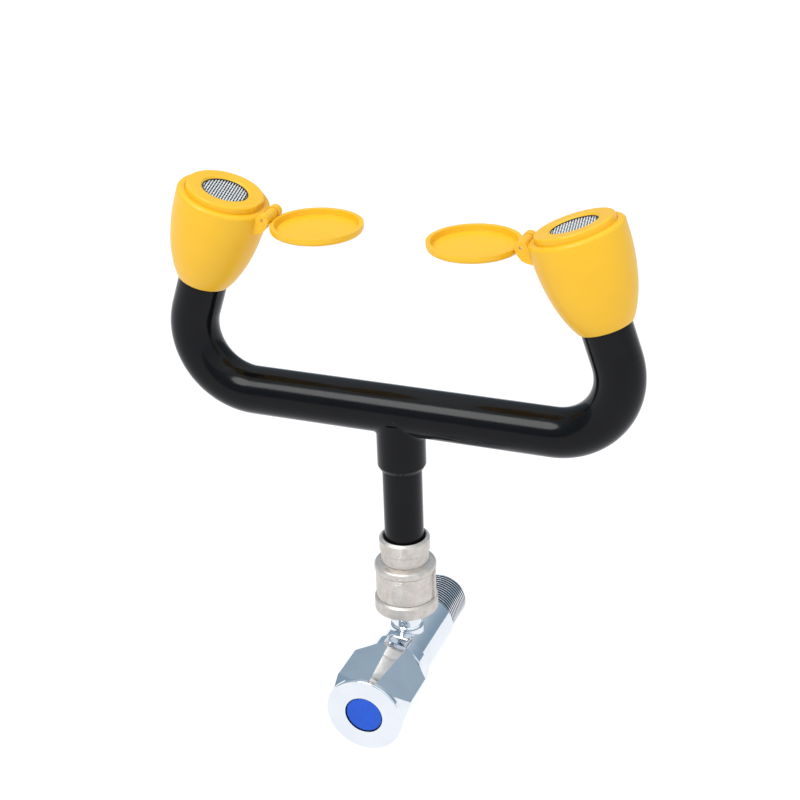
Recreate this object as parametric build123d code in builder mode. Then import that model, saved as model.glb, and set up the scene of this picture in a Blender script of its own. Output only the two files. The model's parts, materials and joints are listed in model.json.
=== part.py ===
from build123d import *
import os
from math import asin, cos, radians, sin

# Twin-head eyewash station on an angle stop valve, in millimetres.
# The origin is the centre of the inlet thread's root plane, on the valve's axis.
# +X runs along the bar to the right seen from the front, +Y into the wall and +Z up.

os.makedirs("parts", exist_ok=True)

# --- driving dimensions -------------------------------------------------------------

# water frame
riser_reach = 30.0          # from the inlet thread's root forward to the riser's axis
bar_height = 136.6          # from the valve's axis up to the bar's axis
tube_radius = 12.0
tube_wall = 2.5
arm_foot = 119.5            # from the riser's axis to the corner of bar axis and arm axis
arm_lean = 18.6             # degrees that each arm leans inwards
arm_length = 76.0           # from that corner to the tube's end
bend_radius = 31.0
boss_radius = 12.0
boss_bottom = 106.2
riser_radius = 9.8
riser_bore = 7.0

# pipe threads, British standard parallel
thread_pitch = 1.814
thread_depth = 1.162
large_thread_radius = 13.22
small_thread_radius = 10.42
thread_crest = 0.5

# reducing coupling
coupling_bottom = 26.9
coupling_top = 67.7
coupling_step = 43.5        # top of the large bore
coupling_neck = 50.5        # bottom of the small bore

# angle valve
inlet_length = 23.5
inlet_bore = 8.6
valve_radius = 14.7
bonnet_radius = 16.7
bonnet_back = 44.5          # from here to disc_cavity, distances forward of the thread's root
bonnet_face = 52.0
chamber_radius = 10.9
chamber_back = 19.0
chamber_front = 38.0
cartridge_thread = 10.4
cartridge_sleeve = 8.3
cartridge_back = 21.9
cartridge_flange = 55.4
cartridge_nose = 57.0
disc_cavity = 6.9
cavity_front = 32.8
spindle_radius = 4.55
spindle_bore = 4.6
spindle_end = 68.0
outlet_boss_top = 15.5
outlet_boss_radius = 8.6

# valve handle
handle_back = 53.2
handle_disc_back = 88.3
handle_front = 90.8
handle_ridge = 22.5
handle_shoulder = 20.25
handle_disc_radius = 19.45
handle_cavity = 13.2
button_radius = 9.2
button_groove = 0.5         # shadow gap round the button

# spray head, measured along the arm from the corner of bar axis and arm axis
head_base = 60.2
head_belly = 100.0
head_belly_radius = 22.5
head_ellipse = 49.0
head_top = 106.2
head_wall = 2.2
face_radius = 18.9
face_flat = 18.2            # the raised face is cut flat towards the hinge
face_top = 109.2
screen_radius = 11.15
cup_radius = 15.5

# cap hinge
pin_offset = 24.2           # from the arm's axis to the pin
pin_height = 105.6
pin_radius = 0.8
ear_inside = 4.0
ear_outside = 8.0
ear_radius = 3.1
cap_radius = 22.0
cap_lip = 1.2               # lip plane above the pin when closed
cap_thickness = 3.7
cap_recess = 2.7
cap_opening = 162.0         # degrees from closed to the rest pose

# --- shared planes and outlines -----------------------------------------------------

riser_axis = Axis((0, -riser_reach, 0), (0, 0, 1))
riser_section = Plane.XZ.offset(riser_reach)
sides = {"left": -1, "right": 1}


def riser_plane(height):
    """Level plane centred on the riser's axis."""
    return Plane(origin=(0, -riser_reach, height))


def valve_plane(forward):
    """Plane square to the valve's axis, facing forward; x is right and y is up."""
    return Plane.XZ.offset(forward)


def pad_plane(forward, height):
    """Plane square to the pad's direction at a height from the valve's axis, facing outwards."""
    turn = radians(pad_angle)
    outwards = Vector(cos(turn), 0, sin(turn))
    return Plane(Vector(0, -forward, 0) + outwards * height, (sin(turn), 0, -cos(turn)), outwards)


def spoke_section(angle):
    """Plane through the valve's axis: x runs forward, y outwards at the angle."""
    turn = radians(angle)
    return Plane(origin=(0, 0, 0), x_dir=(0, -1, 0), z_dir=(-sin(turn), 0, cos(turn)))


def inwards(side):
    """Unit vector square to the arm, towards the middle of the station."""
    return Vector(-side * cos(radians(arm_lean)), 0, -sin(radians(arm_lean)))


def up_arm(side):
    """Unit vector along the arm."""
    return Vector(-side * sin(radians(arm_lean)), 0, cos(radians(arm_lean)))


def arm_corner(side):
    """Point where the bar's axis meets the arm's axis."""
    return Vector(side * arm_foot, -riser_reach, bar_height)


def arm_plane(side, along):
    """Plane square to the arm, facing up it; x points inwards."""
    return Plane(arm_corner(side) + up_arm(side) * along, inwards(side), up_arm(side))


def arm_section(side):
    """Plane that holds the arm's axis: x is the radius inwards, y is along the arm."""
    return Plane(arm_corner(side), inwards(side), (0, side, 0))


def arm_axis(side):
    return Axis(arm_corner(side), up_arm(side))


def pin_point(side):
    """Centre of the hinge pin."""
    return arm_corner(side) + up_arm(side) * pin_height + inwards(side) * pin_offset


def cap_directions(side):
    """The open cap's directions: from the pin to its centre, and from its lip outwards."""
    turn = radians(cap_opening)
    along = inwards(side) * -cos(turn) + up_arm(side) * sin(turn)
    outwards = up_arm(side) * cos(turn) + inwards(side) * sin(turn)
    return along, outwards


def cap_section(side):
    """Plane square to the pin: x runs from the pin to the cap's centre, y from lip to top."""
    along, outwards = cap_directions(side)
    return Plane(pin_point(side), along, along.cross(outwards))


def thread_outline(crest, start, turns):
    """Half outline of turns of thread: a flat crest, then a V groove, along +y."""
    points = []
    for turn in range(turns):
        at = start + turn * thread_pitch
        groove = at + thread_crest + (thread_pitch - thread_crest) / 2
        points += [(crest, at), (crest, at + thread_crest), (crest - thread_depth, groove)]
    last = start + turns * thread_pitch
    return points + [(crest, last), (crest, last + thread_crest)]


# --- u_tube -------------------------------------------------------------------------

arm_end_x = arm_foot - arm_length * sin(radians(arm_lean))
arm_end_z = bar_height + arm_length * cos(radians(arm_lean))

with BuildPart() as u_tube:
    with BuildLine(riser_section) as tube_route:
        FilletPolyline(
            (-arm_end_x, arm_end_z),
            (-arm_foot, bar_height),
            (arm_foot, bar_height),
            (arm_end_x, arm_end_z),
            radius=bend_radius,
        )
    with BuildSketch(Plane(origin=tube_route.line @ 0, z_dir=tube_route.line % 0)):
        Circle(tube_radius)
        Circle(tube_radius - tube_wall, mode=Mode.SUBTRACT)
    sweep()
    with BuildSketch(riser_plane(bar_height)):
        Circle(riser_bore)
    extrude(amount=-tube_radius - 1, mode=Mode.SUBTRACT)
u_tube.part.label = "u_tube"
export_step(u_tube.part, "parts/u_tube.step")

# --- riser_boss ---------------------------------------------------------------------

boss_socket = 118.0         # the riser's end stops here
boss_chamfer = 2.0
boss_crown = bar_height - 4
fit_gap = 0.04              # between pieces that sit in or against each other

with BuildPart() as riser_boss:
    with BuildSketch(riser_section):
        with BuildLine():
            Polyline(
                (riser_radius + fit_gap, boss_bottom),
                (boss_radius - boss_chamfer / 2, boss_bottom),
                (boss_radius, boss_bottom + boss_chamfer),
                (boss_radius, boss_crown),
                (riser_bore, boss_crown),
                (riser_bore, boss_socket),
                (riser_radius + fit_gap, boss_socket),
                close=True,
            )
        make_face()
    revolve(axis=riser_axis)
    with BuildSketch(Plane((0, -riser_reach, bar_height), (0, 1, 0), (1, 0, 0))):
        Circle(tube_radius + fit_gap)
    extrude(amount=boss_radius + 1, both=True, mode=Mode.SUBTRACT)
riser_boss.part.label = "riser_boss"
export_step(riser_boss.part, "parts/riser_boss.step")

# --- riser_pipe and its threaded ferrule ---------------------------------------------

ferrule_top = coupling_top - 2
ferrule_radius = 8.7        # the pipe's turned-down end, inside the ferrule
riser_bottom = coupling_neck + 1.2

with BuildPart() as riser_pipe:
    with BuildSketch(riser_section):
        with BuildLine():
            Polyline(
                (riser_bore, riser_bottom),
                (ferrule_radius, riser_bottom),
                (ferrule_radius, ferrule_top),
                (riser_radius, ferrule_top),
                (riser_radius, boss_socket - fit_gap),
                (riser_bore, boss_socket - fit_gap),
                close=True,
            )
        make_face()
    revolve(axis=riser_axis)
riser_pipe.part.label = "riser_pipe"
export_step(riser_pipe.part, "parts/riser_pipe.step")

with BuildPart() as threaded_ferrule:
    with BuildSketch(riser_section):
        with BuildLine():
            Polyline(
                (ferrule_radius + fit_gap, riser_bottom),
                *thread_outline(small_thread_radius, riser_bottom, 7),
                (ferrule_radius + fit_gap, riser_bottom + 7 * thread_pitch + thread_crest),
                close=True,
            )
        make_face()
    revolve(axis=riser_axis)
threaded_ferrule.part.label = "threaded_ferrule"
export_step(threaded_ferrule.part, "parts/threaded_ferrule.step")

# --- reducing_coupling ---------------------------------------------------------------

coupling_body = 14.9
large_bead = 16.0
middle_bead = 15.6
middle_lip = 49.6           # the middle bead's sharp lower edge
shoulder_top = 53.7
coupling_small_end = 12.0
small_bead = 12.7
small_bead_bottom = 60.4
lip_chamfer = 1.2
bore_chamfer = 0.6
large_bead_top = 32.8
body_start = 34.1
shoulder_fillet = 2.2
large_bore = large_thread_radius + 0.06
small_bore = small_thread_radius + 0.06
coupling_waist = 9.0
rib_width = 2.4
rib_radius = 15.8
rib_height = 21.5

with BuildPart() as reducing_coupling:
    with BuildSketch(riser_section) as coupling_outline:
        with BuildLine():
            Polyline(
                (0, coupling_bottom),
                (large_bead, coupling_bottom),
                (large_bead, large_bead_top),
                (coupling_body, body_start),
                (coupling_body, middle_lip - 3),
                (middle_bead - 0.4, middle_lip - 0.2),
                (middle_bead, middle_lip),
                (middle_bead, shoulder_top - 0.9),
                (coupling_small_end, shoulder_top),
                (coupling_small_end, small_bead_bottom - 0.4),
                (small_bead - 0.1, small_bead_bottom),
                (small_bead, coupling_top - lip_chamfer),
                (small_bead - lip_chamfer, coupling_top),
                (0, coupling_top),
                close=True,
            )
        make_face()
        corners = coupling_outline.vertices()
        fillet(corners.sort_by_distance((middle_bead, shoulder_top - 0.9))[0], radius=shoulder_fillet)
        fillet(corners.sort_by_distance((coupling_small_end, shoulder_top))[0], radius=0.9)
        fillet(corners.sort_by_distance((large_bead, large_bead_top))[0], radius=1.1)
        fillet(corners.sort_by_distance((coupling_body, body_start))[0], radius=0.7)
        fillet(corners.sort_by_distance((large_bead, coupling_bottom))[0], radius=0.8)
        fillet(corners.sort_by_distance((small_bead, coupling_top - lip_chamfer))[0], radius=0.5)
    revolve(axis=riser_axis)
    with BuildSketch(riser_plane(coupling_bottom + 2)):
        Rectangle(2 * rib_radius, rib_width)
    extrude(amount=rib_height)
    with BuildSketch(riser_section):
        with BuildLine():
            Polyline(
                (0, coupling_bottom),
                (large_bore + bore_chamfer, coupling_bottom),
                (large_bore, coupling_bottom + bore_chamfer),
                (large_bore, coupling_step),
                (coupling_waist, coupling_step),
                (coupling_waist, coupling_neck),
                (small_bore, coupling_neck),
                (small_bore, coupling_top - bore_chamfer),
                (small_bore + bore_chamfer, coupling_top),
                (0, coupling_top),
                close=True,
            )
        make_face()
    revolve(axis=riser_axis, mode=Mode.SUBTRACT)
reducing_coupling.part.label = "reducing_coupling"
export_step(reducing_coupling.part, "parts/reducing_coupling.step")

# --- outlet_nipple and outlet_gasket --------------------------------------------------

nipple_bore = 4.8
nipple_root = 6.5
nipple_neck = 7.4
nipple_ring = 7.9
nipple_head = coupling_bottom + 0.5
nipple_turns = 8
nipple_top = nipple_head + nipple_turns * thread_pitch + thread_crest
gasket_height = coupling_step - nipple_top - 2 * fit_gap

with BuildPart() as outlet_nipple:
    with BuildSketch(riser_section):
        with BuildLine():
            Polyline(
                (nipple_bore, chamber_radius + 0.4),
                (nipple_root, chamber_radius + 0.4),
                (nipple_root, outlet_boss_top + fit_gap),
                (nipple_ring, outlet_boss_top + fit_gap),
                (nipple_ring, outlet_boss_top + 0.9),
                (nipple_neck, outlet_boss_top + 1.5),
                (nipple_neck, nipple_head),
                *thread_outline(large_thread_radius - 0.02, nipple_head, nipple_turns),
                (nipple_bore, nipple_top),
                close=True,
            )
        make_face()
    revolve(axis=riser_axis)
outlet_nipple.part.label = "outlet_nipple"
export_step(outlet_nipple.part, "parts/outlet_nipple.step")

with BuildPart() as outlet_gasket:
    with BuildSketch(riser_plane(nipple_top + fit_gap)):
        Circle(large_bore - 0.3)
        Circle(coupling_waist, mode=Mode.SUBTRACT)
    extrude(amount=gasket_height)
outlet_gasket.part.label = "outlet_gasket"
export_step(outlet_gasket.part, "parts/outlet_gasket.step")

# --- valve_body -----------------------------------------------------------------------

relief_length = 1.6         # plain groove between the inlet thread and the body
relief_radius = 12.3
pad_angle = 84              # the bonnet's flat pad leans a little to the right
pad_height = 15.4
pad_back = 42.0
plate_size = (10.8, 7.6)
plate_corner = 1.4
plate_rise = 0.4
plate_rim = 0.8
plate_forward = 47.4
o_ring_seat = 11.8
inlet_turns = 12
seat_radius = 6.2

with BuildPart() as valve_body:
    with BuildSketch(Plane.XY):
        with BuildLine():
            Polyline(
                (0, -bonnet_face),
                (bonnet_radius - 0.6, -bonnet_face),
                (bonnet_radius, -bonnet_face + 0.6),
                (bonnet_radius, -bonnet_back),
                (valve_radius, -bonnet_back + 1.8),
                (valve_radius, -relief_length - 1),
                (valve_radius - 1, -relief_length),
                (relief_radius, -relief_length),
                (relief_radius, 0),
                *thread_outline(large_thread_radius, 0, inlet_turns),
                (large_thread_radius - thread_depth, inlet_length),
                (0, inlet_length),
                close=True,
            )
        make_face()
    revolve(axis=Axis.Y)
    with BuildSketch(riser_plane(0)):
        Circle(outlet_boss_radius)
    extrude(amount=outlet_boss_top)
    with BuildSketch(pad_plane(bonnet_face, pad_height)):
        Rectangle(2 * bonnet_radius, 2 * (bonnet_face - pad_back))
    extrude(amount=bonnet_radius - pad_height, mode=Mode.SUBTRACT)
    with BuildSketch(pad_plane(plate_forward, pad_height - 0.5)):
        RectangleRounded(*plate_size, plate_corner)
    extrude(amount=plate_rise + 0.5)
    with BuildSketch(pad_plane(plate_forward, pad_height)):
        RectangleRounded(*plate_size, plate_corner)
        RectangleRounded(
            plate_size[0] - 2 * plate_rim,
            plate_size[1] - 2 * plate_rim,
            plate_corner - plate_rim / 2,
            mode=Mode.SUBTRACT,
        )
    extrude(amount=2 * plate_rise)
    with BuildSketch(Plane.XY):
        with BuildLine():
            Polyline(
                (0, -bonnet_face),
                (o_ring_seat, -bonnet_face),
                (o_ring_seat, -bonnet_face + 1.6),
                (cartridge_thread + fit_gap, -bonnet_face + 1.6),
                (cartridge_thread + fit_gap, -chamber_front),
                (chamber_radius, -chamber_front),
                (chamber_radius, -chamber_back),
                (seat_radius, -chamber_back),
                (seat_radius, -chamber_back + 4),
                (inlet_bore, -chamber_back + 6.4),
                (inlet_bore, inlet_length),
                (0, inlet_length),
                close=True,
            )
        make_face()
    revolve(axis=Axis.Y, mode=Mode.SUBTRACT)
    with BuildSketch(riser_plane(0)):
        Circle(nipple_root + fit_gap)
    extrude(amount=outlet_boss_top + 1, mode=Mode.SUBTRACT)
valve_body.part.label = "valve_body"
export_step(valve_body.part, "parts/valve_body.step")

# --- inlet_strainer -------------------------------------------------------------------

strainer_forward = -14.0    # behind the thread's root, inside the inlet
strainer_height = 6.0

with BuildPart() as inlet_strainer:
    with BuildSketch(valve_plane(strainer_forward)):
        Circle(inlet_bore - fit_gap)
    extrude(amount=-strainer_height)
    with BuildSketch(valve_plane(strainer_forward - 0.9)):
        Circle(inlet_bore - 1)
    extrude(amount=-strainer_height, mode=Mode.SUBTRACT)
    with BuildSketch(valve_plane(strainer_forward)):
        Circle(0.8)
        for ring_radius, holes in ((2.9, 6), (5.8, 12)):
            with PolarLocations(ring_radius, holes):
                Circle(0.8)
    extrude(amount=-strainer_height, mode=Mode.SUBTRACT)
inlet_strainer.part.label = "inlet_strainer"
export_step(inlet_strainer.part, "parts/inlet_strainer.step")

# --- cartridge: fixed pieces ------------------------------------------------------------

hex_radius = 12.1
window_width = 6.0
ceramic_thickness = 3.4
port_circle = 3.6
port_radius = 2.1
fixed_disc_back = cartridge_back + 0.1

with BuildPart() as cartridge_body:
    with BuildSketch(Plane.XY):
        with BuildLine():
            Polyline(
                (disc_cavity, -cartridge_back),
                (cartridge_sleeve, -cartridge_back),
                (cartridge_sleeve, -chamber_front - 0.3),
                (cartridge_thread, -chamber_front - 0.3),
                (cartridge_thread, -bonnet_face),
                (spindle_bore, -bonnet_face),
                (spindle_bore, -cavity_front),
                (disc_cavity, -cavity_front),
                close=True,
            )
        make_face()
    revolve(axis=Axis.Y)
    with BuildSketch(valve_plane(bonnet_face + fit_gap)):
        RegularPolygon(hex_radius, 6)
        Circle(spindle_bore, mode=Mode.SUBTRACT)
    extrude(amount=cartridge_flange - bonnet_face - fit_gap)
    with BuildSketch(valve_plane(bonnet_face - 1)):
        Circle(7.4)
        Circle(spindle_bore, mode=Mode.SUBTRACT)
    extrude(amount=cartridge_nose - bonnet_face + 1)
    with BuildSketch(valve_plane(cavity_front - 4)):
        Rectangle(2 * chamber_radius, window_width)
        Rectangle(window_width, 2 * chamber_radius)
        Circle(disc_cavity - 0.5, mode=Mode.SUBTRACT)
    extrude(amount=4, mode=Mode.SUBTRACT)
cartridge_body.part.label = "cartridge_body"
export_step(cartridge_body.part, "parts/cartridge_body.step")

with BuildPart() as cartridge_o_ring:
    with BuildSketch(Plane.XY):
        with Locations((11.1, -bonnet_face + 0.8)):
            Circle(0.65)
    revolve(axis=Axis.Y)
cartridge_o_ring.part.label = "cartridge_o_ring"
export_step(cartridge_o_ring.part, "parts/cartridge_o_ring.step")

with BuildPart() as seat_seal:
    with BuildSketch(valve_plane(chamber_back + fit_gap)):
        Circle(cartridge_sleeve)
        Circle(seat_radius + 0.1, mode=Mode.SUBTRACT)
    extrude(amount=cartridge_back - chamber_back - 2 * fit_gap)
seat_seal.part.label = "seat_seal"
export_step(seat_seal.part, "parts/seat_seal.step")

with BuildPart() as fixed_ceramic_disc:
    with BuildSketch(valve_plane(fixed_disc_back)):
        Circle(disc_cavity - fit_gap)
        with PolarLocations(port_circle, 2):
            Circle(port_radius, mode=Mode.SUBTRACT)
    extrude(amount=ceramic_thickness)
fixed_ceramic_disc.part.label = "fixed_ceramic_disc"
export_step(fixed_ceramic_disc.part, "parts/fixed_ceramic_disc.step")

# --- cartridge: turning pieces ----------------------------------------------------------

turning_gap = 0.08
moving_disc_back = fixed_disc_back + ceramic_thickness + 0.05
driver_back = moving_disc_back + ceramic_thickness + 0.05
tang_width = 3.0
tang_length = 9.0
tang_depth = 1.4
spline_radius = 3.9
spline_flats = 6.2
screw_radius = 2.0
clip_groove = 3.2
clip_back = cartridge_nose + 0.35
clip_thickness = 0.8

with BuildPart() as moving_ceramic_disc:
    with BuildSketch(valve_plane(moving_disc_back)):
        Circle(disc_cavity - turning_gap)
        with PolarLocations(port_circle, 2, start_angle=90):
            Circle(port_radius, mode=Mode.SUBTRACT)
    extrude(amount=ceramic_thickness)
    with BuildSketch(valve_plane(driver_back)):
        Rectangle(tang_length + 0.2, tang_width + 0.2)
    extrude(amount=-tang_depth - 0.2, mode=Mode.SUBTRACT)
moving_ceramic_disc.part.label = "moving_ceramic_disc"
export_step(moving_ceramic_disc.part, "parts/moving_ceramic_disc.step")

with BuildPart() as cartridge_spindle:
    with BuildSketch(valve_plane(driver_back)):
        Circle(disc_cavity - turning_gap)
        Rectangle(2 * disc_cavity, 6, mode=Mode.INTERSECT)
    extrude(amount=cavity_front - 0.1 - driver_back)
    with BuildSketch(valve_plane(driver_back - tang_depth)):
        Rectangle(tang_length, tang_width)
    extrude(amount=tang_depth + 1)
    with BuildSketch(valve_plane(driver_back)):
        Circle(spindle_radius)
    extrude(amount=cartridge_nose - driver_back)
    with BuildSketch(valve_plane(cartridge_nose)):
        Circle(spline_radius)
        Rectangle(2 * spline_radius, spline_flats, mode=Mode.INTERSECT)
    extrude(amount=spindle_end - cartridge_nose)
    with BuildSketch(valve_plane(clip_back - 0.05)):
        Circle(spindle_radius + 1)
        Circle(clip_groove - 0.3, mode=Mode.SUBTRACT)
    extrude(amount=clip_thickness + 0.1, mode=Mode.SUBTRACT)
    with BuildSketch(valve_plane(42)):
        Circle(spindle_radius + 1)
        Circle(3.25, mode=Mode.SUBTRACT)
    extrude(amount=1.5, mode=Mode.SUBTRACT)
    with BuildSketch(valve_plane(spindle_end)):
        Circle(screw_radius)
    extrude(amount=-9, mode=Mode.SUBTRACT)
cartridge_spindle.part.label = "cartridge_spindle"
export_step(cartridge_spindle.part, "parts/cartridge_spindle.step")

with BuildPart() as spindle_o_ring:
    with BuildSketch(Plane.XY):
        with Locations((3.92, -42.75)):
            Circle(0.6)
    revolve(axis=Axis.Y)
spindle_o_ring.part.label = "spindle_o_ring"
export_step(spindle_o_ring.part, "parts/spindle_o_ring.step")

with BuildPart() as retaining_clip:
    with BuildSketch(valve_plane(clip_back)):
        Circle(6)
        Circle(clip_groove, mode=Mode.SUBTRACT)
        with Locations((0, -5)):
            Rectangle(5, 10, mode=Mode.SUBTRACT)
    extrude(amount=clip_thickness)
retaining_clip.part.label = "retaining_clip"
export_step(retaining_clip.part, "parts/retaining_clip.step")

# --- valve_handle -----------------------------------------------------------------------

ridge_angles = (16.5, 136.5, 256.5)
flute_angles = (76.5, 196.5, 316.5)
handle_fillet = 1.2
flute_back = 18.05          # height of a flute's flat floor at the handle's back
flute_front = 19.45
bevel_start = 82.0
bevel_foot = 16.5
chamfer_foot = 15.0         # the ridges' long chamfer at the handle's back
chamfer_length = 8.5
hub_radius = 7.6
hub_back = 58.7
hub_web = 69.0
screw_seat = 72.0
cavity_depth = 66.0
button_seat = 88.5

with BuildPart() as valve_handle:
    with BuildSketch(valve_plane(handle_back)) as handle_outline:
        corners = []
        for turn in range(6):
            reach = handle_shoulder if turn % 2 else handle_ridge
            angle = radians(ridge_angles[0] + 60 * turn)
            corners.append((reach * cos(angle), reach * sin(angle)))
        Polygon(*corners, align=None)
        fillet(handle_outline.vertices(), radius=handle_fillet)
    extrude(amount=handle_disc_back - handle_back)
    for flute_angle in flute_angles:
        with BuildSketch(spoke_section(flute_angle)):
            with BuildLine():
                Polyline(
                    (handle_back - 1, flute_back),
                    (handle_disc_back, flute_front),
                    (handle_disc_back, handle_ridge),
                    (handle_back - 1, handle_ridge),
                    close=True,
                )
            make_face()
        extrude(amount=handle_ridge, both=True, mode=Mode.SUBTRACT)
    for ridge_angle in ridge_angles:
        with BuildSketch(spoke_section(ridge_angle)):
            with BuildLine():
                Polyline(
                    (bevel_start, handle_ridge),
                    (handle_disc_back, bevel_foot),
                    (handle_disc_back, handle_ridge + 1),
                    (bevel_start, handle_ridge + 1),
                    close=True,
                )
            make_face()
            with BuildLine():
                Polyline(
                    (handle_back, chamfer_foot),
                    (handle_back + chamfer_length, handle_ridge),
                    (handle_back, handle_ridge),
                    close=True,
                )
            make_face()
        extrude(amount=handle_ridge, both=True, mode=Mode.SUBTRACT)
    with BuildSketch(valve_plane(handle_disc_back)):
        Circle(handle_disc_radius)
    extrude(amount=handle_front - handle_disc_back)
    with BuildSketch(valve_plane(handle_back)):
        Circle(handle_cavity)
    extrude(amount=hub_back - handle_back, mode=Mode.SUBTRACT)
    with BuildSketch(valve_plane(hub_back)):
        Circle(handle_cavity)
        Circle(hub_radius, mode=Mode.SUBTRACT)
    extrude(amount=cavity_depth - hub_back, mode=Mode.SUBTRACT)
    with BuildSketch(valve_plane(hub_back)):
        Circle(spline_radius + 0.05)
        Rectangle(2 * spline_radius + 1, spline_flats + 0.1, mode=Mode.INTERSECT)
    extrude(amount=hub_web - hub_back, mode=Mode.SUBTRACT)
    with BuildSketch(valve_plane(hub_web - 1)):
        Circle(screw_radius + 0.2)
    extrude(amount=screw_seat - hub_web + 1, mode=Mode.SUBTRACT)
    with BuildSketch(valve_plane(screw_seat)):
        Circle(5.5)
    extrude(amount=handle_front - screw_seat, mode=Mode.SUBTRACT)
    with BuildSketch(valve_plane(button_seat)):
        Circle(button_radius + button_groove)
    extrude(amount=handle_front - button_seat, mode=Mode.SUBTRACT)
    front_rim = valve_handle.edges().filter_by(GeomType.CIRCLE).sort_by(Axis.Y)[0:2]
    fillet(front_rim.sort_by(SortBy.RADIUS)[-1], radius=0.7)
valve_handle.part.label = "valve_handle"
export_step(valve_handle.part, "parts/valve_handle.step")

# --- handle_screw and index_button --------------------------------------------------------

screw_head = 3.8

with BuildPart() as handle_screw:
    with BuildSketch(valve_plane(spindle_end - 8)):
        Circle(screw_radius - 0.02)
    extrude(amount=screw_seat - spindle_end + 9)
    with BuildSketch(valve_plane(screw_seat + fit_gap)):
        Circle(screw_head)
    extrude(amount=2.4)
    with BuildSketch(valve_plane(screw_seat + 2.5)):
        Rectangle(4.4, 0.9)
        Rectangle(0.9, 4.4)
    extrude(amount=-1.3, mode=Mode.SUBTRACT)
handle_screw.part.label = "handle_screw"
export_step(handle_screw.part, "parts/handle_screw.step")

with BuildPart() as index_button:
    with BuildSketch(valve_plane(button_seat + fit_gap)):
        Circle(button_radius)
    extrude(amount=handle_front - button_seat - 0.35)
    front_edge = index_button.edges().sort_by(Axis.Y)[0]
    fillet(front_edge, radius=0.5)
    with BuildSketch(valve_plane(button_seat + 0.1)):
        Circle(5.46)
        Circle(4.2, mode=Mode.SUBTRACT)
    extrude(amount=-5)
index_button.part.label = "index_button"
export_step(index_button.part, "parts/index_button.step")

# --- spray heads --------------------------------------------------------------------------

inner_ellipse = head_ellipse - head_wall + 0.05
inner_radius = head_belly_radius - head_wall
socket_top = 66.5
ledge_under = head_top - head_wall
cup_base = 66.8
cup_floor = 78.0
cup_top = 103.1
regulator_back = 80.1
screen_seat = 108.25
recess_lip_radius = 19.9
recess_floor_radius = 19.3
knuckle_root = 20.4         # from the cap's centre, inside its rim
filter_radius = 13.2
ear_root = 20.9             # inside the hood's wall
ear_gap = 0.4
knuckle_gap = 0.3
collar_radius = 14.15
rim_fillet = 1.9
cup_wall = 1.5


def hood_curve(start, radius, depth):
    """Quarter-ellipse points from a height on the arm up to the belly, and end tangents."""
    first = asin((head_belly - start) / depth)
    points = []
    for step in range(6):
        angle = first * (1 - step / 5)
        points.append((radius * cos(angle), head_belly - depth * sin(angle)))
    return points, [(radius * sin(first), depth * cos(first)), (0, 1)]


def make_head_shell(side):
    """Bulging hood: open base for the tube, open top for the face, two hinge ears."""
    outer_points, outer_ends = hood_curve(head_base, head_belly_radius, head_ellipse)
    inner_points, inner_ends = hood_curve(socket_top, inner_radius, inner_ellipse)
    with BuildPart() as shell:
        with BuildSketch(arm_section(side)) as profile:
            with BuildLine():
                outer = Spline(*outer_points, tangents=outer_ends)
                inner = Spline(*inner_points, tangents=inner_ends)
                Polyline(
                    outer @ 1,
                    (head_belly_radius, head_top),
                    (face_radius + 0.12, head_top),
                    (face_radius + 0.12, ledge_under),
                    (inner_radius, ledge_under),
                    inner @ 1,
                )
                Polyline(
                    inner @ 0,
                    (tube_radius + 0.1, socket_top),
                    (tube_radius + 0.1, head_base),
                    outer @ 0,
                )
            make_face()
            rim = profile.vertices().sort_by_distance((head_belly_radius, head_top))[0]
            fillet(rim, radius=rim_fillet)
        revolve(axis=arm_axis(side))
        for start in (ear_inside, -ear_outside):
            with BuildSketch(arm_section(side).offset(start)):
                with Locations((pin_offset, pin_height)):
                    Circle(ear_radius)
                with BuildLine():
                    Polyline(
                        (ear_root, head_top - 0.3),
                        (pin_offset - 2.9, head_top - 0.3),
                        (pin_offset, pin_height),
                        (pin_offset + 2.9, pin_height - 1.1),
                        (pin_offset + 2.5, pin_height - 3.6),
                        (pin_offset + 1.2, pin_height - 6.2),
                        (pin_offset - 1.0, pin_height - 7.8),
                        (ear_root, pin_height - 9),
                        close=True,
                    )
                make_face()
            extrude(amount=ear_outside - ear_inside)
        with BuildSketch(arm_section(side)):
            with Locations((pin_offset, pin_height)):
                Circle(ear_radius)
        extrude(amount=ear_inside, both=True, mode=Mode.SUBTRACT)
        with BuildSketch(arm_section(side)):
            with Locations((pin_offset, pin_height)):
                Circle(pin_radius + 0.02)
        extrude(amount=ear_outside + 1, both=True, mode=Mode.SUBTRACT)
    return shell


def make_spray_cup(side):
    """Inner cup: a collar on the tube's end, a drilled floor and a wall for the filters."""
    with BuildPart() as cup:
        with BuildSketch(arm_section(side)):
            with BuildLine():
                Polyline(
                    (tube_radius + 0.05, cup_base),
                    (collar_radius, cup_base),
                    (collar_radius, cup_floor),
                    (cup_radius, cup_floor + 2),
                    (cup_radius, cup_top),
                    (cup_radius - cup_wall, cup_top),
                    (cup_radius - cup_wall, cup_floor + 2),
                    (7, cup_floor + 2),
                    (7, cup_floor),
                    (tube_radius + 0.05, cup_floor),
                    close=True,
                )
            make_face()
        revolve(axis=arm_axis(side))
    return cup


def make_tube_washer(side):
    """Flat seal between the tube's end and the cup's floor."""
    with BuildPart() as washer:
        with BuildSketch(arm_plane(side, arm_length + fit_gap)):
            Circle(tube_radius - 0.1)
            Circle(tube_radius - tube_wall, mode=Mode.SUBTRACT)
        extrude(amount=cup_floor - arm_length - 2 * fit_gap)
    return washer


def make_flow_regulator(side):
    """Drilled disc on the cup's floor."""
    with BuildPart() as regulator:
        with BuildSketch(arm_plane(side, regulator_back)):
            Circle(cup_radius - 1.7)
            with PolarLocations(5.2, 6):
                Circle(1.3, mode=Mode.SUBTRACT)
        extrude(amount=3)
    return regulator


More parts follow.
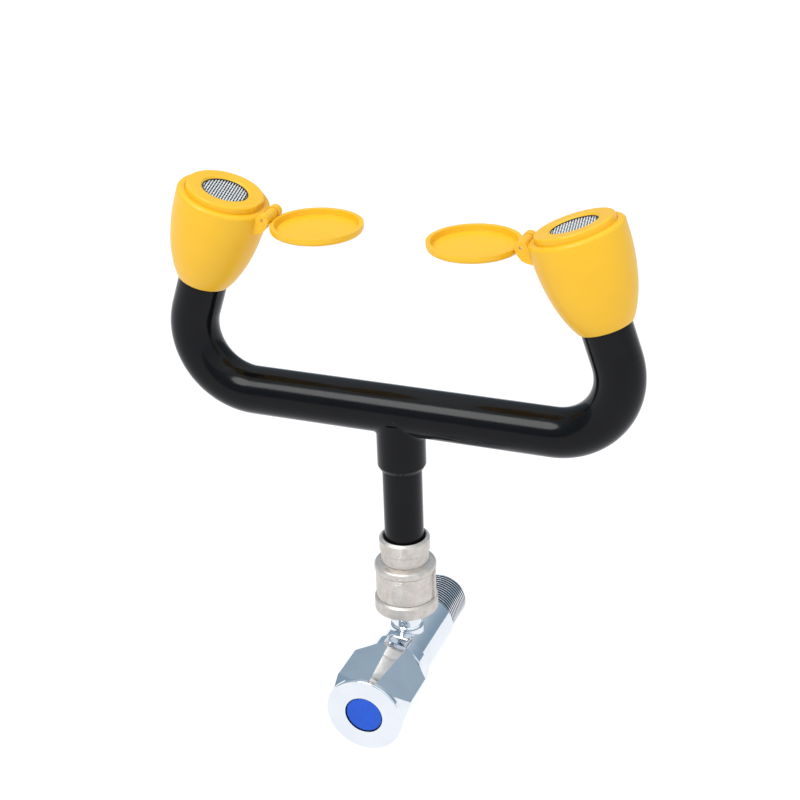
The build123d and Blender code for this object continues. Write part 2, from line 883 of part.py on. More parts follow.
def make_foam_filter(side):
    """Foam plug between the flow regulator and the screen."""
    foam_back = regulator_back + 3.1
    with BuildPart() as foam:
        with BuildSketch(arm_plane(side, foam_back)):
            Circle(filter_radius)
        extrude(amount=screen_seat - 0.85 - foam_back)
    return foam


def make_mesh_screen(side):
    """Screen held under the face ring's lip."""
    with BuildPart() as screen:
        with BuildSketch(arm_plane(side, screen_seat - 0.75)):
            Circle(filter_radius)
        extrude(amount=0.7)
    return screen


def make_face_ring(side):
    """Raised disc with a bevelled opening for the screen and a skirt over the cup."""
    with BuildPart() as face:
        with BuildSketch(arm_section(side)) as profile:
            with BuildLine():
                Polyline(
                    (cup_radius + 0.1, cup_top - 3),
                    (cup_radius + 1.7, cup_top - 3),
                    (cup_radius + 1.7, cup_top + 0.1),
                    (face_radius, cup_top + 0.1),
                    (face_radius, head_top),
                    (face_radius - 0.3, face_top),
                    (screen_radius + 0.8, face_top),
                    (screen_radius, screen_seat + 0.2),
                    (screen_radius, screen_seat),
                    (filter_radius + 0.2, screen_seat),
                    (filter_radius + 0.2, cup_top + 0.1),
                    (cup_radius + 0.1, cup_top + 0.1),
                    close=True,
                )
            make_face()
            crown = profile.vertices().sort_by_distance((face_radius, face_top))[0]
            fillet(crown, radius=0.9)
        revolve(axis=arm_axis(side))
        with BuildSketch(arm_plane(side, head_top + 0.02)):
            with Locations((face_flat + 2, 0)):
                Rectangle(4, 2 * face_radius)
        extrude(amount=face_top - head_top, mode=Mode.SUBTRACT)
    return face


def make_dust_cap(side):
    """Dished lid with a rounded rim and a hinge knuckle, in its open pose."""
    along, outwards = cap_directions(side)
    cap_top = cap_lip + cap_thickness
    roof = cap_lip + cap_recess
    with BuildPart() as cap:
        with BuildSketch(cap_section(side)) as profile:
            with BuildLine():
                Polyline(
                    (pin_offset, roof),
                    (pin_offset + recess_floor_radius, roof),
                    (pin_offset + recess_lip_radius, cap_lip),
                    (pin_offset + cap_radius, cap_lip),
                    (pin_offset + cap_radius, cap_top),
                    (pin_offset, cap_top),
                    close=True,
                )
            make_face()
            corners = profile.vertices()
            fillet(corners.sort_by_distance((pin_offset + cap_radius, cap_top))[0], radius=1.9)
            fillet(corners.sort_by_distance((pin_offset + cap_radius, cap_lip))[0], radius=0.9)
            fillet(corners.sort_by_distance((pin_offset + recess_lip_radius, cap_lip))[0], radius=0.7)
            fillet(corners.sort_by_distance((pin_offset + recess_floor_radius, roof))[0], radius=0.9)
        revolve(axis=Axis(pin_point(side) + along * pin_offset, outwards))
        with BuildSketch(cap_section(side)):
            Circle(ear_radius - 0.4)
            with BuildLine():
                Polyline(
                    (0, cap_lip),
                    (pin_offset - knuckle_root, cap_lip),
                    (pin_offset - knuckle_root, cap_top - 1.6),
                    (0, ear_radius - 0.4),
                    close=True,
                )
            make_face()
        extrude(amount=ear_inside - knuckle_gap, both=True)
        for start in (ear_inside - knuckle_gap, -ear_outside - knuckle_gap):
            with BuildSketch(cap_section(side).offset(start)):
                Circle(ear_radius + ear_gap)
            extrude(amount=ear_outside - ear_inside + 2 * knuckle_gap, mode=Mode.SUBTRACT)
        with BuildSketch(cap_section(side)):
            Circle(pin_radius + 0.06)
        extrude(amount=ear_inside, both=True, mode=Mode.SUBTRACT)
    return cap


def make_hinge_pin(side):
    """Plain pin, pressed into the ears and free in the knuckle."""
    with BuildPart() as pin:
        with BuildSketch(cap_section(side)):
            Circle(pin_radius)
        extrude(amount=ear_outside - 1.1, both=True)
    return pin


head_makers = {
    "head_shell": make_head_shell,
    "spray_cup": make_spray_cup,
    "tube_washer": make_tube_washer,
    "flow_regulator": make_flow_regulator,
    "foam_filter": make_foam_filter,
    "mesh_screen": make_mesh_screen,
    "face_ring": make_face_ring,
    "dust_cap": make_dust_cap,
    "hinge_pin": make_hinge_pin,
}

for side_name, side_sign in sides.items():
    for piece_name, make_piece in head_makers.items():
        piece = make_piece(side_sign)
        piece.part.label = f"{side_name}_{piece_name}"
        export_step(piece.part, f"parts/{side_name}_{piece_name}.step")
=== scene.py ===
import json
import math

import bmesh
import bpy
from mathutils import Matrix, Vector


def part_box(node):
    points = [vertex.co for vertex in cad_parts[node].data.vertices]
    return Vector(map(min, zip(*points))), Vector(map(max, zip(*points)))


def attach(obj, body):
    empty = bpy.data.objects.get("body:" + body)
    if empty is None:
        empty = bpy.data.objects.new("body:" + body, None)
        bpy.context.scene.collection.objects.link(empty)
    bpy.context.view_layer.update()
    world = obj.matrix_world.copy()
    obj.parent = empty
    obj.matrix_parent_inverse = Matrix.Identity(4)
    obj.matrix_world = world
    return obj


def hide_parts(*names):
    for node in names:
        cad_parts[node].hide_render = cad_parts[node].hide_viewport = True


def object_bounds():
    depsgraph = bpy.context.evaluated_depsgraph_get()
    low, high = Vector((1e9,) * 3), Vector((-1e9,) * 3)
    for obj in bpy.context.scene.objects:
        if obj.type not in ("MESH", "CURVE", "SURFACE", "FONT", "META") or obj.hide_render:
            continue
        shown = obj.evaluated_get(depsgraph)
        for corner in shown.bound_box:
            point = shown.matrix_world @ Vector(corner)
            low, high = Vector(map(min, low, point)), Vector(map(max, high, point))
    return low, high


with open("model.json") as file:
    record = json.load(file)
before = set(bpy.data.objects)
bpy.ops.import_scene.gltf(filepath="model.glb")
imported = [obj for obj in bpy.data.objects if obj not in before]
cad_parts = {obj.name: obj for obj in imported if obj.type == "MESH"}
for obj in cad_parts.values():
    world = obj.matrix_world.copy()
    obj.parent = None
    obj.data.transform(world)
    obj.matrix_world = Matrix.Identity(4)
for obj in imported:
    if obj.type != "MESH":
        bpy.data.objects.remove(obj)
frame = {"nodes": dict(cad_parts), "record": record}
cad_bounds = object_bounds()

MM = 0.001
SIDES = ("left", "right")


# --- where things are, from the frame --------------------------------------------------

def centre(node):
    """Middle of a CAD node's box."""
    low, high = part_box(node)
    return (Vector(low) + Vector(high)) / 2


def arm_basis(side):
    """Unit vectors of a spray head: to the right, towards the back, and up the arm."""
    up = (centre(f"{side}_mesh_screen") - centre(f"{side}_tube_washer")).normalized()
    back = Vector((0, 1, 0))
    return back.cross(up), back, up


# --- node materials ------------------------------------------------------------------------

NOISE_SPREAD = (0.3, 0.7)      # where most of a noise's values lie
ROUGHNESS_PATCHES = 3.1        # roughness changes this many times faster than colour
EDGE_PATCH_SCALE = 900.0
EDGE_PATCH_SPREAD = (0.35, 0.65)
BEVEL_SAMPLES = 4
STAIN_AND_SHADE_ROUGHNESS = 0.35
EDGE_MATCH = (0.995, 0.80)     # rounded against true normal, on an open face and on a sharp edge


def add(tree, kind, inputs=None, **settings):
    """Adds a shader node; an input takes a value or another node's output."""
    made = tree.nodes.new(kind)
    for key, value in settings.items():
        setattr(made, key, value)
    for key, value in (inputs or {}).items():
        if isinstance(value, bpy.types.NodeSocket):
            tree.links.new(value, made.inputs[key])
        else:
            made.inputs[key].default_value = value
    return made


def noise(tree, coords, scale, detail=3.0, roughness=0.55):
    """Noise from 0 to 1; scale is in waves per metre."""
    settings = {"Vector": coords, "Scale": scale, "Detail": detail, "Roughness": roughness}
    return add(tree, "ShaderNodeTexNoise", settings).outputs["Fac"]


def remap(tree, value, low, high, to_low, to_high):
    """Moves a value from one range to another, and keeps it inside the second."""
    settings = {"Value": value, "From Min": low, "From Max": high, "To Min": to_low, "To Max": to_high}
    return add(tree, "ShaderNodeMapRange", settings).outputs["Result"]


def mix_colours(tree, factor, first, second):
    """Blends two colours; each may be a value or an output."""
    made = add(tree, "ShaderNodeMix", data_type="RGBA")
    tree.links.new(factor, made.inputs[0])
    for index, colour in ((6, first), (7, second)):
        if isinstance(colour, bpy.types.NodeSocket):
            tree.links.new(colour, made.inputs[index])
        else:
            made.inputs[index].default_value = (*colour, 1)
    return made.outputs[2]


def maths(tree, operation, *inputs):
    """Result of a Math node on values or outputs."""
    return add(tree, "ShaderNodeMath", dict(enumerate(inputs)), operation=operation).outputs[0]


def coordinate(tree, coords, direction):
    """One of the coordinates: X, Y or Z."""
    return add(tree, "ShaderNodeSeparateXYZ", {"Vector": coords}).outputs[direction]


def bump(tree, height, distance, normal=None):
    """Normal of a surface raised by height times distance, on top of another normal."""
    settings = {"Height": height, "Distance": distance}
    if normal is not None:
        settings["Normal"] = normal
    return add(tree, "ShaderNodeBump", settings).outputs["Normal"]


def edge_mask(tree, rounded):
    """Near 1 on sharp edges and 0 on open faces, from the rounded normal."""
    true_normal = add(tree, "ShaderNodeNewGeometry").outputs["Normal"]
    match = add(tree, "ShaderNodeVectorMath", operation="DOT_PRODUCT")
    tree.links.new(rounded, match.inputs[0])
    tree.links.new(true_normal, match.inputs[1])
    return remap(tree, match.outputs["Value"], *EDGE_MATCH, 0.0, 1.0)


def surface(name, colour, shade, roughness, patches, grain, grain_depth, metallic=0.0,
            wave=0.0, wave_depth=0.0, rounding=0.0, wear_and_edge_reflection=None, pattern=None, pattern_depth=3e-5,
            stain_and_shade=None, stain_and_shade_colour=None, **sockets):
    """Principled material with colour patches, uneven roughness, fine grain and a tone on edges.

    colour and shade are the two tones of the patches, roughness a (low, high) pair. patches,
    grain and wave are in waves per metre, and wave is a slow unevenness of the surface.
    rounding softens sharp edges, where the edge tone shows: rubbed wear on most finishes, and on the
    chrome a painted dark reflection line and a painted highlight on the thread crests. pattern(tree,
    coords) may return one more height, and the mask function a value from 0 to 1 of where the second
    tone lies: real cast specks, and painted shade in creases, corners and thread grooves.
    """
    made = bpy.data.materials.new(name)
    made.use_nodes = True
    tree = made.node_tree
    shader = tree.nodes["Principled BSDF"]
    coords = add(tree, "ShaderNodeTexCoord").outputs["Object"]

    tone = remap(tree, noise(tree, coords, patches, 4.0), *NOISE_SPREAD, 0.0, 1.0)
    base = mix_colours(tree, tone, colour, shade)
    uneven = noise(tree, coords, patches * ROUGHNESS_PATCHES, 5.0, 0.65)
    rough = remap(tree, uneven, *NOISE_SPREAD, *roughness)

    normal = None
    if rounding:
        normal = add(tree, "ShaderNodeBevel", {"Radius": rounding}, samples=BEVEL_SAMPLES).outputs["Normal"]
        # edge tone: rubbed wear on most finishes; on the chrome a painted dark reflection line, and a painted
        # highlight on the thread crests
        if wear_and_edge_reflection is not None:
            edge_patches = remap(tree, noise(tree, coords, EDGE_PATCH_SCALE, 4.0), *EDGE_PATCH_SPREAD, 0.35, 1.0)
            wear_and_reflection_mask = maths(tree, "MULTIPLY", edge_mask(tree, normal), edge_patches)
            base = mix_colours(tree, wear_and_reflection_mask, base, wear_and_edge_reflection)
    # second tone: painted shade in creases, corners and thread grooves, and real cast specks on the nickel
    if stain_and_shade:
        mask = stain_and_shade(tree, coords)
        base = mix_colours(tree, mask, base, stain_and_shade_colour)
        rough = maths(tree, "MULTIPLY_ADD", mask, STAIN_AND_SHADE_ROUGHNESS, rough)
    if wave:
        normal = bump(tree, noise(tree, coords, wave, 1.0), wave_depth, normal)
    if pattern:
        normal = bump(tree, pattern(tree, coords), pattern_depth, normal)
    normal = bump(tree, noise(tree, coords, grain), grain_depth, normal)

    tree.links.new(base, shader.inputs["Base Color"])
    tree.links.new(rough, shader.inputs["Roughness"])
    tree.links.new(normal, shader.inputs["Normal"])
    shader.inputs["Metallic"].default_value = metallic
    for socket, value in sockets.items():
        shader.inputs[socket.replace("_", " ")].default_value = value
    return made


def turned_lines(direction, pitch, low=None, high=None):
    """Fine lathe lines round the X, Y or Z axis, kept between two places along it."""
    def pattern(tree, coords):
        # one wave of Blender's band texture is pi / 10 long at scale 1
        lines = add(
            tree, "ShaderNodeTexWave", {"Vector": coords, "Scale": math.pi / 10 / pitch, "Distortion": 0.4},
            bands_direction=direction,
        ).outputs["Fac"]
        if low is None:
            return lines
        place = coordinate(tree, coords, direction)
        above = maths(tree, "GREATER_THAN", place, low)
        below = maths(tree, "LESS_THAN", place, high)
        return maths(tree, "MULTIPLY", lines, maths(tree, "MULTIPLY", above, below))
    return pattern


STREAK_STRETCH = (1.0, 0.04, 1.0)
STREAK_SCALE = 1500.0


def streaks(tree, coords):
    """Long fine polishing marks along y."""
    drawn = add(tree, "ShaderNodeVectorMath", {0: coords, 1: STREAK_STRETCH}, operation="MULTIPLY")
    return noise(tree, drawn.outputs["Vector"], STREAK_SCALE, 2.0)


CREVICE_REACH = 2.5 * MM
CREVICE_OPENNESS = (0.3, 0.7)  # darkest and clean
CREVICE_DEPTH = 0.85


def crevice_shade(tree, coords):
    """Painted shade in tight corners, where polished metal mirrors only itself and looks dark."""
    openness = add(tree, "ShaderNodeAmbientOcclusion", {"Distance": CREVICE_REACH}, samples=8).outputs["AO"]
    return remap(tree, openness, *CREVICE_OPENNESS, CREVICE_DEPTH, 0.0)


THREAD_RADII = (13.15 * MM, 12.95 * MM)    # where the painted groove shade begins, and where it is darkest
INLET_BORE = 11.0 * MM


def thread_root_shade(tree, coords):
    """Painted shade in tight corners and in the inlet's thread grooves: low radius, behind the root plane."""
    flat = add(tree, "ShaderNodeVectorMath", {0: coords, 1: (1.0, 0.0, 1.0)}, operation="MULTIPLY")
    length = add(tree, "ShaderNodeVectorMath", {0: flat.outputs["Vector"]}, operation="LENGTH")
    radius = length.outputs["Value"]
    deep = remap(tree, radius, *THREAD_RADII, 0.0, 1.0)
    behind = maths(tree, "GREATER_THAN", coordinate(tree, coords, "Y"), 0.0)
    outside = maths(tree, "GREATER_THAN", radius, INLET_BORE)
    grooves = maths(tree, "MULTIPLY", deep, maths(tree, "MULTIPLY", behind, outside))
    return maths(tree, "MAXIMUM", grooves, crevice_shade(tree, coords))


# painted shade lines in the creases at these heights
CREASE_HEIGHTS = [up * MM for up in (7.2, 22.4, 27.2, 33.2)]    # above the coupling's lower end
CREASE_CORE = 0.1 * MM
CREASE_WIDTH = 0.45 * MM
CREASE_DEPTH = 0.75
CREASE_SHADE_SCALE = 350.0
SPECK_SCALE = 1500.0
SPECK_SPREAD = (0.6, 0.78)
SPECK_DEPTH = 0.7
NECK_LENGTH = 15.5 * MM

coupling_low, coupling_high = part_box("reducing_coupling")


def cast_specks_and_crease_shade(tree, coords):
    """Dark specks of a sand-cast skin, and painted shade in the creases beside the coupling's beads."""
    specks_and_shade = remap(tree, noise(tree, coords, SPECK_SCALE, 3.0, 0.6), *SPECK_SPREAD, 0.0, SPECK_DEPTH)
    place = coordinate(tree, coords, "Z")
    uneven = remap(tree, noise(tree, coords, CREASE_SHADE_SCALE), *NOISE_SPREAD, 0.35, 1.0)
    for crease in CREASE_HEIGHTS:
        away = maths(tree, "ABSOLUTE", maths(tree, "SUBTRACT", place, coupling_low[2] + crease))
        line = remap(tree, away, CREASE_CORE, CREASE_WIDTH, CREASE_DEPTH, 0.0)
        specks_and_shade = maths(tree, "MAXIMUM", specks_and_shade, maths(tree, "MULTIPLY", line, uneven))
    return specks_and_shade


FOAM_CELL_SCALE = 1100.0


def foam_cells(tree, coords):
    """Open cells of the filter foam."""
    return add(tree, "ShaderNodeTexVoronoi", {"Vector": coords, "Scale": FOAM_CELL_SCALE}).outputs["Distance"]


CHROME_TONES = ((0.80, 0.83, 0.86), (0.74, 0.77, 0.81), (0.035, 0.09))
CHROME = {
    "metallic": 1.0, "patches": 70.0, "grain": 1200.0, "grain_depth": 4e-7,
    "wave": 130.0, "wave_depth": 1.2e-5, "pattern": streaks,
}

materials = {
    "black_coat": surface(
        "glossy_black_powder_coat", (0.003, 0.003, 0.0033), (0.005, 0.005, 0.0054), (0.12, 0.18),
        patches=45.0, grain=2600.0, grain_depth=1.5e-6, wave=420.0, wave_depth=7e-6,
        rounding=0.25 * MM, wear_and_edge_reflection=(0.03, 0.03, 0.031), Specular_IOR_Level=0.16,
    ),
    # second tone: real dark cast specks, and painted shade lines in the creases beside the beads
    "nickel_plate": surface(
        "satin_nickel_plate", (0.70, 0.65, 0.60), (0.58, 0.53, 0.48), (0.44, 0.58), metallic=1.0,
        patches=260.0, grain=3200.0, grain_depth=3.2e-5, wave=1100.0, wave_depth=5e-5,
        rounding=0.2 * MM, wear_and_edge_reflection=(0.84, 0.80, 0.75), stain_and_shade=cast_specks_and_crease_shade, stain_and_shade_colour=(0.2, 0.175, 0.15),
        pattern=turned_lines("Z", 0.45 * MM, coupling_high[2] - NECK_LENGTH, coupling_high[2]),
    ),
    # painted dark reflection lines on the edges, and painted shade in tight corners
    "chrome_plate": surface(
        "polished_chrome", *CHROME_TONES, rounding=0.22 * MM, wear_and_edge_reflection=(0.2, 0.22, 0.25),
        pattern_depth=5e-6, stain_and_shade=crevice_shade, stain_and_shade_colour=(0.03, 0.034, 0.04), **CHROME,
    ),
    "yellow_plastic": surface(
        "yellow_abs", (0.90, 0.475, 0.010), (0.87, 0.45, 0.008), (0.34, 0.44),
        patches=38.0, grain=2400.0, grain_depth=5e-6, wave=260.0, wave_depth=6e-6,
        rounding=0.35 * MM, wear_and_edge_reflection=(0.97, 0.62, 0.06), Specular_IOR_Level=0.46, Subsurface_Weight=0.06,
    ),
    "blue_plastic": surface(
        "blue_index_plastic", (0.006, 0.088, 0.57), (0.005, 0.072, 0.48), (0.22, 0.32),
        patches=90.0, grain=2400.0, grain_depth=4e-6, rounding=0.2 * MM, wear_and_edge_reflection=(0.05, 0.2, 0.75),
        Specular_IOR_Level=0.3,
    ),
    "stainless": surface(
        "bright_stainless", (0.97, 0.97, 0.96), (0.9, 0.9, 0.89), (0.36, 0.5), metallic=0.45,
        patches=400.0, grain=4000.0, grain_depth=3e-6,
    ),
    "black_rubber": surface(
        "black_epdm", (0.018, 0.018, 0.018), (0.028, 0.028, 0.027), (0.6, 0.8),
        patches=200.0, grain=3000.0, grain_depth=8e-6,
    ),
    "white_plastic": surface(
        "white_acetal", (0.78, 0.78, 0.74), (0.72, 0.72, 0.69), (0.4, 0.55),
        patches=80.0, grain=2200.0, grain_depth=5e-6,
    ),
    "bare_brass": surface(
        "turned_brass", (0.76, 0.54, 0.22), (0.66, 0.45, 0.17), (0.2, 0.34), metallic=1.0,
        patches=150.0, grain=2500.0, grain_depth=4e-6, pattern=turned_lines("Y", 0.35 * MM),
    ),
    "white_ceramic": surface(
        "lapped_alumina", (0.86, 0.85, 0.8), (0.8, 0.79, 0.75), (0.08, 0.16),
        patches=300.0, grain=5000.0, grain_depth=1e-6,
    ),
    "grey_foam": surface(
        "filter_foam", (0.006, 0.006, 0.0065), (0.012, 0.012, 0.0125), (0.85, 0.95),
        patches=700.0, grain=3000.0, grain_depth=4e-5, pattern=foam_cells,
    ),
}

# painted highlight on the thread crests and edges, and painted shade in the thread grooves and tight corners
threaded_chrome = surface(
    "polished_chrome_with_thread", *CHROME_TONES, rounding=0.08 * MM, wear_and_edge_reflection=(0.93, 0.94, 0.95),
    pattern_depth=2.5e-6, stain_and_shade=thread_root_shade, stain_and_shade_colour=(0.006, 0.006, 0.007), **CHROME,
)

sealed_brass = surface(
    "brass_with_dark_thread_sealant", (0.06, 0.045, 0.025), (0.025, 0.02, 0.014), (0.5, 0.7),
    metallic=0.4, patches=400.0, grain=2500.0, grain_depth=1.5e-5,
)


def paint(node, material):
    """Gives a CAD node's slots a material."""
    for slot in frame["nodes"][node].material_slots:
        slot.material = material


for entry in frame["record"]["subparts"]:
    paint(entry["node"], materials[entry["material_slot"]])
paint("valve_body", threaded_chrome)
paint("threaded_ferrule", sealed_brass)


# --- meshes ----------------------------------------------------------------------------------

def bridge(mesh, first, second):
    """Joins two closed loops of vertices with a band of faces."""
    count = len(first)
    for index in range(count):
        following = (index + 1) % count
        mesh.faces.new((first[index], first[following], second[following], second[index]))


def add_tube(mesh, points, radius, sides):
    """Adds a closed round wire through the points to a bmesh."""
    rings = []
    for index, point in enumerate(points):
        before = points[max(index - 1, 0)]
        after = points[min(index + 1, len(points) - 1)]
        turn = (after - before).to_track_quat("Z", "Y")
        ring = []
        for step in range(sides):
            angle = math.tau * step / sides
            outwards = turn @ Vector((math.cos(angle), math.sin(angle), 0))
            ring.append(mesh.verts.new(point + outwards * radius))
        rings.append(ring)
    for first, second in zip(rings, rings[1:]):
        bridge(mesh, first, second)
    mesh.faces.new(list(reversed(rings[0])))
    mesh.faces.new(rings[-1])


RING_STEPS = 96


def add_ring(mesh, profile, origin, axis, across):
    """Adds a closed ring to a bmesh: the (radius, height) profile turned round an axis."""
    other = axis.cross(across)
    loops = []
    for step in range(RING_STEPS):
        angle = math.tau * step / RING_STEPS
        outwards = across * math.cos(angle) + other * math.sin(angle)
        loops.append([mesh.verts.new(origin + outwards * r + axis * h) for r, h in profile])
    for first, second in zip(loops, loops[1:] + loops[:1]):
        bridge(mesh, first, second)


def finished(mesh, name, slot, body="station"):
    """Turns a bmesh into a smooth piece that rides on a body and takes a slot's finish."""
    bmesh.ops.recalc_face_normals(mesh, faces=mesh.faces)
    data = bpy.data.meshes.new(name)
    mesh.to_mesh(data)
    mesh.free()
    for face in data.polygons:
        face.use_smooth = True
    piece = bpy.data.objects.new(name, data)
    bpy.context.collection.objects.link(piece)
    data.materials.append(materials[slot])
    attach(piece, body)
    return piece


# --- woven screens ------------------------------------------------------------------------------

WARP_PITCH = 1.32 * MM
WARP_RADIUS = 0.32 * MM
WARP_SIDES = 8
WARP_SWAY = 0.015 * MM
WARP_TURN = 12.0               # degrees from front to back
WARP_MARGIN = 0.5 * MM         # from the wires' ends to the screen's edge
WEFT_PITCH = 2.6 * MM
WEFT_RADIUS = 0.07 * MM
WEFT_SIDES = 6
WEFT_MARGIN = 0.15 * MM        # from the wires' ends to the dark ring
WEFT_CLIMB = WARP_RADIUS + WEFT_RADIUS * 0.25
FEWEST_STEPS = 8               # along half of a wire
RIM_WIDTH = 1.1 * MM
RIM_HEIGHT = 0.6 * MM
# dark ring round the screen's opening: a painted shadow of the gap between screen and head
SHADOW_RING_INSIDE = 10.55 * MM
SHADOW_RING_OUTSIDE = 11.05 * MM
SHADOW_RING_BOTTOM = WARP_RADIUS + 0.02 * MM
SHADOW_RING_HEIGHT = 0.22 * MM


def add_wires(mesh, middle, directions, disc, pitch, crossing, step, sway, radius, sides):
    """Adds the parallel wires of a woven disc, which sway over and under those that cross them.

    directions are the unit vectors across the wires, along them and out of the disc. disc is
    the disc's radius, pitch and crossing the spacings of these wires and of the others.
    """
    across, along, up = directions
    lanes = int(disc / pitch)
    for lane in range(-lanes, lanes + 1):
        offset = lane * pitch
        reach = math.sqrt(disc * disc - offset * offset)
        steps = max(FEWEST_STEPS, int(reach / step))
        points = []
        for index in range(-steps, steps + 1):
            place = reach * index / steps
            lift = sway * math.cos(math.pi * (place / crossing + lane))
            points.append(middle + across * offset + along * place + up * lift)
        add_tube(mesh, points, radius, sides)


def box_profile(inside, outside, bottom, top):
    """Rectangle of (radius, height) pairs."""
    return ((inside, bottom), (outside, bottom), (outside, top), (inside, top))


def make_woven_screen(side):
    """Thick warp wires, nearly front to back, with thin weft wires that climb over and under."""
    right, back, up = arm_basis(side)
    turn = math.radians(WARP_TURN)
    warp = back * math.cos(turn) - right * math.sin(turn)
    weft = right * math.cos(turn) + back * math.sin(turn)
    node = f"{side}_mesh_screen"
    middle = centre(node)
    low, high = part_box(node)
    radius = (high[1] - low[1]) / 2

    mesh = bmesh.new()
    add_wires(
        mesh, middle, (weft, warp, up), radius - WARP_MARGIN, WARP_PITCH, WEFT_PITCH,
        WEFT_PITCH / 2, WARP_SWAY, WARP_RADIUS, WARP_SIDES,
    )
    add_wires(
        mesh, middle, (warp, weft, up), SHADOW_RING_INSIDE - WEFT_MARGIN, WEFT_PITCH, WARP_PITCH,
        WARP_PITCH / 6, -WEFT_CLIMB, WEFT_RADIUS, WEFT_SIDES,
    )
    rim = box_profile(radius - RIM_WIDTH, radius, -RIM_HEIGHT / 2, RIM_HEIGHT / 2)
    add_ring(mesh, rim, middle, up, right)
    piece = finished(mesh, f"{side}_woven_screen", "stainless")
    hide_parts(node)

    # black ring at the screen's edge, put where the gap round the screen is in shade: a painted shadow
    mesh = bmesh.new()
    shadow_ring = box_profile(SHADOW_RING_INSIDE, SHADOW_RING_OUTSIDE, SHADOW_RING_BOTTOM, SHADOW_RING_BOTTOM + SHADOW_RING_HEIGHT)
    add_ring(mesh, shadow_ring, middle, up, right)
    finished(mesh, f"{side}_screen_shadow_ring", "black_rubber")


for side in SIDES:
    make_woven_screen(side)


# --- weld between boss and bar ---------------------------------------------------------------------

WELD_SIZE = 1.7 * MM
WELD_ROOT = 0.35 * MM          # how far the bead reaches into boss and bar
WELD_SWING = 87.0              # degrees to either side of the corner's middle
WELD_FADE = 0.7
WELD_STEPS = 40
WELD_ARC = 8


def make_boss_weld(direction):
    """Concave bead in the corner of boss and bar, on one side; it fades out at front and back."""
    tube_low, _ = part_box("u_tube")
    boss_low, boss_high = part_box("riser_boss")
    radius = (boss_high[1] - boss_low[1]) / 2
    axis_x = (boss_low[0] + boss_high[0]) / 2
    axis_y = (boss_low[1] + boss_high[1]) / 2
    bar_z = tube_low[2] + radius
    mesh = bmesh.new()
    rings = []
    for step in range(WELD_STEPS + 1):
        swing = math.radians(-WELD_SWING + 2 * WELD_SWING * step / WELD_STEPS)
        across = radius * math.sin(swing)
        corner = radius * math.cos(swing)
        size = WELD_SIZE * math.cos(swing) ** WELD_FADE
        ring = []
        for part in range(WELD_ARC + 1):
            angle = math.pi / 2 * part / WELD_ARC
            out = corner + size * (1 - math.cos(angle))
            down = corner + size * (1 - math.sin(angle))
            ring.append((out, down))
        inner = corner - WELD_ROOT
        ring += [(corner + size, inner), (inner, inner), (inner, corner + size)]
        rings.append([
            mesh.verts.new((axis_x + direction * out, axis_y + across, bar_z - down)) for out, down in ring
        ])
    for first, second in zip(rings, rings[1:]):
        bridge(mesh, first, second)
    mesh.faces.new(rings[0])
    mesh.faces.new(rings[-1])
    finished(mesh, "boss_weld_right" if direction > 0 else "boss_weld_left", "black_coat")


for direction in (-1, 1):
    make_boss_weld(direction)


# --- floor, light and camera ---------------------------------------------------------------------------

FLOOR_DROP = 0.45
FLOOR_HALF = 60.0
KEY_AZIMUTH = -22.0
KEY_ELEVATION = 49.0
KEY_STRENGTH = 1.8
KEY_SPREAD = 30.0
FILL_AZIMUTH = 72.0
FILL_ELEVATION = 24.0
FILL_STRENGTH = 0.75
FILL_SPREAD = 90.0
HORIZON_COLOUR = (0.284, 0.385, 0.476)
OVERHEAD_COLOUR = (1.45, 1.50, 1.56)
OVERHEAD_GATHER = 3.0          # higher keeps the bright part closer to overhead
BACKDROP_COLOUR = (1.0, 1.0, 1.0)


def make_floor():
    """Large pale plane well under the wall-hung station."""
    mesh = bmesh.new()
    bmesh.ops.create_grid(mesh, x_segments=4, y_segments=4, size=FLOOR_HALF)
    data = bpy.data.meshes.new("floor")
    mesh.to_mesh(data)
    mesh.free()
    floor = bpy.data.objects.new("floor", data)
    bpy.context.collection.objects.link(floor)
    floor.location = (0, 0, cad_bounds[0][2] - FLOOR_DROP)
    data.materials.append(surface(
        "pale_floor", (0.86, 0.82, 0.80), (0.85, 0.81, 0.79), (0.8, 0.9),
        patches=1.5, grain=200.0, grain_depth=1e-5, Specular_IOR_Level=0.1,
    ))


def make_light(name, azimuth, elevation, strength, spread):
    """Broad soft light, the same over the whole floor; azimuth 0 is the front, 90 the right."""
    turn = math.radians(azimuth)
    rise = math.radians(elevation)
    towards = Vector((math.sin(turn) * math.cos(rise), -math.cos(turn) * math.cos(rise), math.sin(rise)))
    data = bpy.data.lights.new(name, "SUN")
    data.energy = strength
    data.angle = math.radians(spread)
    light = bpy.data.objects.new(name, data)
    light.location = towards
    light.rotation_euler = towards.to_track_quat("Z", "Y").to_euler()
    bpy.context.collection.objects.link(light)


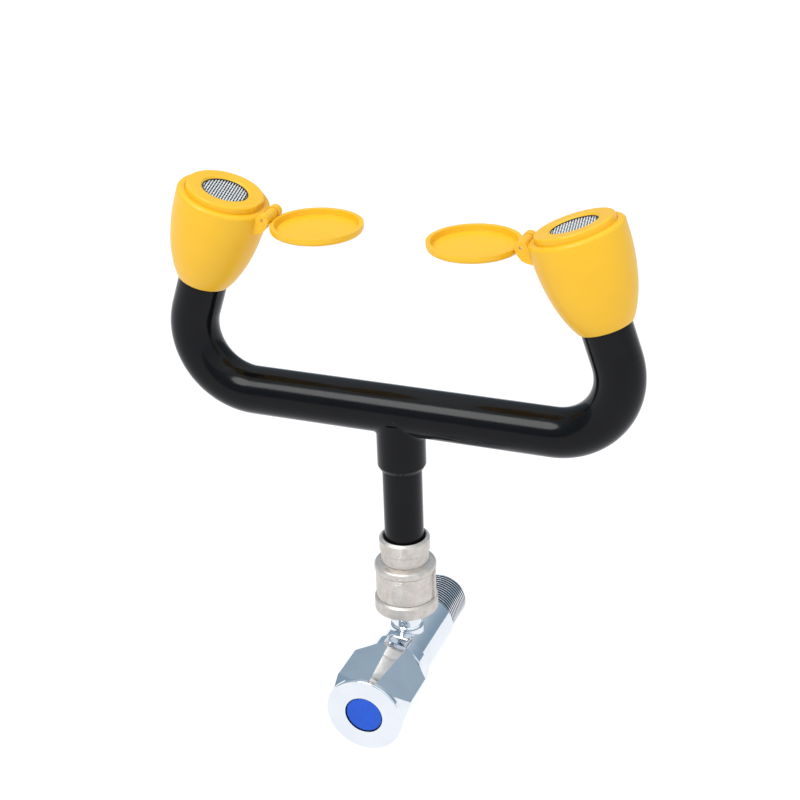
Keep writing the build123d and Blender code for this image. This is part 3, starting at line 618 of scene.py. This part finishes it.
def make_world():
    """Slightly blue room light, dim at the horizon and paler overhead, behind a plain white backdrop."""
    world = bpy.data.worlds.new("studio")
    bpy.context.scene.world = world
    world.use_nodes = True
    tree = world.node_tree
    coords = add(tree, "ShaderNodeTexCoord").outputs["Generated"]
    height = maths(tree, "MAXIMUM", coordinate(tree, coords, "Z"), 0.0)
    rise = maths(tree, "POWER", height, OVERHEAD_GATHER)
    studio = mix_colours(tree, rise, HORIZON_COLOUR, OVERHEAD_COLOUR)
    seen = add(tree, "ShaderNodeLightPath").outputs["Is Camera Ray"]
    colour = mix_colours(tree, seen, studio, BACKDROP_COLOUR)
    background = tree.nodes["Background"]
    tree.links.new(colour, background.inputs["Color"])
    background.inputs["Strength"].default_value = 1.0


CAMERA_AZIMUTH = 21.96
CAMERA_ELEVATION = 25.79
CAMERA_ROLL = -1.95
CAMERA_DISTANCE = 0.8117
CAMERA_LENS = 76.28
CAMERA_SENSOR = 36.0
CAMERA_CLIP = (0.01, 100.0)
CAMERA_TARGET = Vector((0.0001, -0.03, 0.14196))


def make_camera():
    """Camera in front, above and to the right, with a slight roll."""
    turn = math.radians(CAMERA_AZIMUTH)
    rise = math.radians(CAMERA_ELEVATION)
    roll = math.radians(CAMERA_ROLL)
    back = Vector((math.sin(turn) * math.cos(rise), -math.cos(turn) * math.cos(rise), math.sin(rise)))
    right = Vector((math.cos(turn), math.sin(turn), 0))
    up = back.cross(right)
    rolled_right = right * math.cos(roll) + up * math.sin(roll)
    rolled_up = up * math.cos(roll) - right * math.sin(roll)
    data = bpy.data.cameras.new("camera")
    data.lens = CAMERA_LENS
    data.sensor_width = CAMERA_SENSOR
    data.clip_start, data.clip_end = CAMERA_CLIP
    camera = bpy.data.objects.new("camera", data)
    turned = Matrix((rolled_right, rolled_up, back)).transposed().to_4x4()
    camera.matrix_world = Matrix.Translation(CAMERA_TARGET + back * CAMERA_DISTANCE) @ turned
    bpy.context.collection.objects.link(camera)
    bpy.context.scene.camera = camera


make_floor()
make_world()
make_light("key_light", KEY_AZIMUTH, KEY_ELEVATION, KEY_STRENGTH, KEY_SPREAD)
make_light("fill_light", FILL_AZIMUTH, FILL_ELEVATION, FILL_STRENGTH, FILL_SPREAD)
make_camera()
bpy.context.scene.view_settings.view_transform = "Standard"
